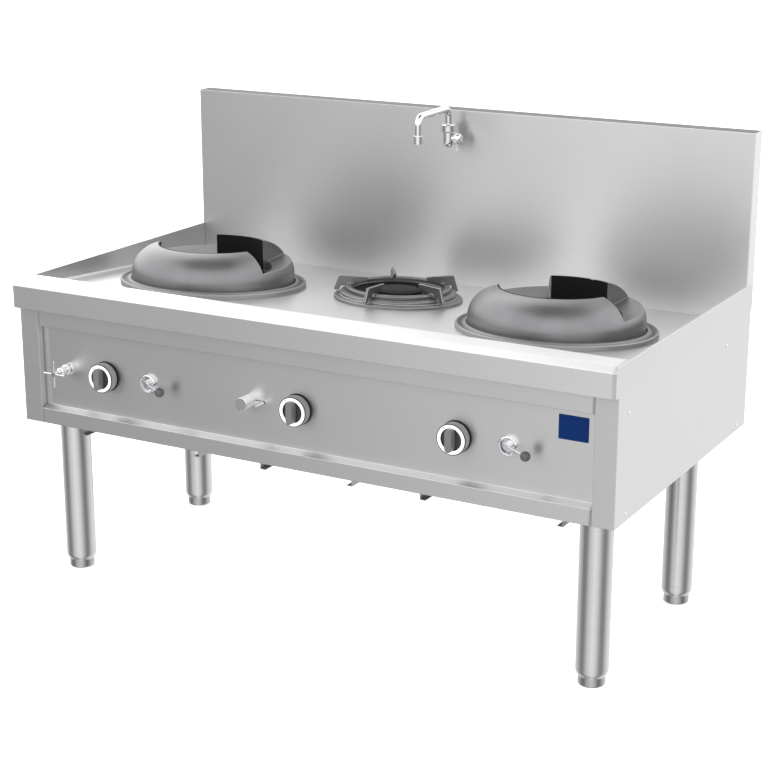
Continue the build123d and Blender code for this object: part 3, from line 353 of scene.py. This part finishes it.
def knob_material(side, cx):
    """Dark grey knob with a white dial ring and one dark mark on its face; the recess behind the face is painted
    near-black as shade.
    """
    m, nt, bsdf = new_material(f"knob_{side}")
    co = obj_coord(nt)
    sep = node(nt, "ShaderNodeSeparateXYZ")
    nt.links.new(co, sep.inputs[0])
    dx = mathn(nt, "SUBTRACT", sep.outputs[0], X(cx))
    dz = mathn(nt, "SUBTRACT", sep.outputs[2], 0.573)

    def dist(a, b):
        return mathn(nt, "SQRT", mathn(nt, "ADD", mathn(nt, "MULTIPLY", a, a), mathn(nt, "MULTIPLY", b, b)))

    r = dist(dx, dz)
    face = mathn(nt, "MULTIPLY", mathn(nt, "GREATER_THAN", sep.outputs[1], Y(12.0)), mathn(nt, "LESS_THAN", sep.outputs[1], Y(13.1)))
    band = mathn(nt, "MULTIPLY", mathn(nt, "GREATER_THAN", r, 0.0268), mathn(nt, "LESS_THAN", r, 0.0350))
    mark = dist(mathn(nt, "ADD", dx, 0.0185), mathn(nt, "SUBTRACT", dz, 0.0254))
    band = mathn(nt, "MULTIPLY", band, mathn(nt, "GREATER_THAN", mark, 0.0022))
    white = mathn(nt, "MULTIPLY", face, band)
    rim = mathn(nt, "MULTIPLY", mathn(nt, "GREATER_THAN", r, 0.0350), mathn(nt, "LESS_THAN", sep.outputs[1], Y(14.2)))
    inner = mathn(nt, "LESS_THAN", r, 0.0268)
    skirt = ramp(nt, noise_at(nt, co, (14, 14, 14), 1.0, 3.0, 0.5), [(0.3, 0.20), (0.7, 0.225)])
    c = mix(nt, inner, skirt, (0.12, 0.12, 0.123, 1.0))
    # painted shade: the recess behind the knob's face is near-black
    recess_shade = mathn(nt, "MULTIPLY", inner, mathn(nt, "GREATER_THAN", sep.outputs[1], Y(15.0)))
    c = mix(nt, recess_shade, c, (0.03, 0.03, 0.03, 1.0))
    c = mix(nt, rim, c, (0.02, 0.02, 0.02, 1.0))
    c = mix(nt, white, c, (0.93, 0.93, 0.93, 1.0))
    nt.links.new(c, bsdf.inputs["Base Color"])
    rr = ramp(nt, noise_at(nt, co, (40, 40, 40), 1.0, 2.0, 0.5), [(0.3, 0.34), (0.7, 0.42)])
    nt.links.new(rr, bsdf.inputs["Roughness"])
    bump(nt, noise_at(nt, co, (500, 500, 500), 1.0, 2.0, 0.5), 0.2, 0.0001, bsdf)
    return m


USE = {
    "worktop_tray": "deck", "splashback": "splash", "splash_rear_cover": "back", "rear_panel": "back",
    "left_side_panel": "side", "right_side_panel": "side", "front_fascia": "front",
    "drip_tray_left": "back", "drip_tray_center": "back", "drip_tray_right": "back", "panel_screws": "chrome",
    "base_frame": "frame", "tray_runners": "frame", "firebox_left": "frame", "firebox_right": "frame",
    "pan_support": "support",
    "burner_left": "burner", "burner_right": "burner", "center_burner_body": "sooty", "center_burner_cap": "sooty",
    "pilot_burners": "burner", "gas_manifold": "gas", "burner_supply_pipes": "gas", "gas_valves": "brass",
    "valve_stem_left": "brass", "valve_stem_center": "brass", "valve_stem_right": "brass",
    "knob_bezels": "black", "knob_left": "knob", "knob_center": "knob", "knob_right": "knob",
    "lever_ball_left": "ball", "lever_ball_right": "ball", "water_pipes": "copper", "blank_plate": "plate",
}
for n in ("lever_tap_body_left", "lever_tap_body_right", "tap_lever_left", "tap_lever_right", "cross_valve_body", "cross_handle",
          "stub_valve_body", "stub_valve_lever", "wall_tap_body", "wall_tap_spout", "wall_tap_lever"):
    USE[n] = "chrome"
for n in NODES:
    if n.startswith("leg_"):
        USE[n] = "leg"
    if n.startswith("foot_"):
        USE[n] = "foot"
for n, o in NODES.items():
    o.data.materials.clear()
    if n.startswith("wok_ring_"):
        side = n.rsplit("_", 1)[1]
        o.data.materials.append(ring_material(side, 328 if side == "left" else 1322))
    elif n == "center_collar":
        o.data.materials.append(collar_material())
    elif n.startswith("wok_collar_"):
        side = n.rsplit("_", 1)[1]
        o.data.materials.append(wok_collar_material(side, 328 if side == "left" else 1322))
    elif n in ("knob_left", "knob_center", "knob_right"):
        o.data.materials.append(knob_material(n[5:], {"knob_left": 255, "knob_center": 825, "knob_right": 1249}[n]))
    else:
        o.data.materials.append(M[USE[n]])

# ------------------------------------------------------------------- stage
bm = bmesh.new()
R = 14.0
verts = []
for k in range(96):
    a = 2 * math.pi * k / 96
    verts.append(bm.verts.new((R * math.cos(a), R * math.sin(a), -0.0005)))
bm.faces.new(verts)
me = bpy.data.meshes.new("floor")
bm.to_mesh(me)
bm.free()
floor = bpy.data.objects.new("floor", me)
COL.objects.link(floor)
fm, fnt, fb = new_material("pale_floor")
fb.inputs["Base Color"].default_value = (0.93, 0.93, 0.93, 1.0)
fb.inputs["Roughness"].default_value = 0.9
fb.inputs["Specular IOR Level"].default_value = 0.0
fb.inputs["Emission Color"].default_value = (1.0, 1.0, 1.0, 1.0)
fb.inputs["Emission Strength"].default_value = 0.40
me.materials.append(fm)

floor.visible_glossy = False

world = bpy.data.worlds.new("studio")
scene.world = world
world.use_nodes = True
wnt = world.node_tree
bg = wnt.nodes["Background"]
wdir = node(wnt, "ShaderNodeTexCoord").outputs["Generated"]
wsep = node(wnt, "ShaderNodeSeparateXYZ")
wnt.links.new(wdir, wsep.inputs[0])
# azimuth of a direction, 0 straight to the front and growing to the right, as 0..1
azi = mathn(wnt, "ARCTAN2", wsep.outputs[0], mathn(wnt, "MULTIPLY", wsep.outputs[1], -1.0))
azi = mathn(wnt, "ADD", mathn(wnt, "DIVIDE", azi, 2 * math.pi), 0.5)


def around(stops, mode="B_SPLINE"):
    """Brightness around the horizon from (degrees, value) stops, as value / 4."""
    return ramp(wnt, azi, [((d + 180.0) / 360.0, v / 4.0) for d, v in stops], "LINEAR")


low = around([(-180, 1.15), (-150, 1.15), (-106, 0.94), (-84, 0.66), (-64, 0.26), (-50, 0.25), (-40, 0.33), (-30, 0.56), (-22, 0.82), (0, 1.08),
              (18, 1.30), (40, 1.1), (58, 0.70), (74, 0.30), (94, 0.26), (110, 0.66), (135, 1.12), (158, 1.26), (180, 1.15)])
high = around([(-180, 1.2), (-161, 1.2), (-152, 1.9), (-143, 3.0), (-116, 2.4), (-84, 1.9), (-58, 2.0), (-40, 1.95), (-26, 1.9), (0, 2.1),
               (50, 1.8), (110, 2.0), (150, 2.2), (180, 1.2)])
lift = ramp(wnt, mathn(wnt, "ADD", mathn(wnt, "MULTIPLY", wsep.outputs[2], 0.5), 0.5), [(0.44, 0.0), (0.61, 1.0)], "EASE")
top = ramp(wnt, mathn(wnt, "ADD", mathn(wnt, "MULTIPLY", wsep.outputs[2], 0.5), 0.5), [(0.925, 0.0), (0.965, 1.0)], "EASE")
env = mix(wnt, lift, low, high)
env = mix(wnt, top, env, (0.04, 0.04, 0.04, 1.0))
lp = node(wnt, "ShaderNodeLightPath")
wnt.links.new(mix(wnt, lp.outputs["Is Camera Ray"], env, (0.26, 0.26, 0.26, 1.0)), bg.inputs["Color"])
bg.inputs["Strength"].default_value = 4.0


def area(name, loc, target, size, power, size_y=None):
    d = bpy.data.lights.new(name, "AREA")
    d.energy = power
    d.shape = "RECTANGLE"
    d.size = size
    d.size_y = size_y or size
    o = bpy.data.objects.new(name, d)
    COL.objects.link(o)
    o.location = loc
    o.rotation_mode = "QUATERNION"
    o.rotation_quaternion = (Vector(target) - Vector(loc)).to_track_quat("-Z", "Y")
    return o
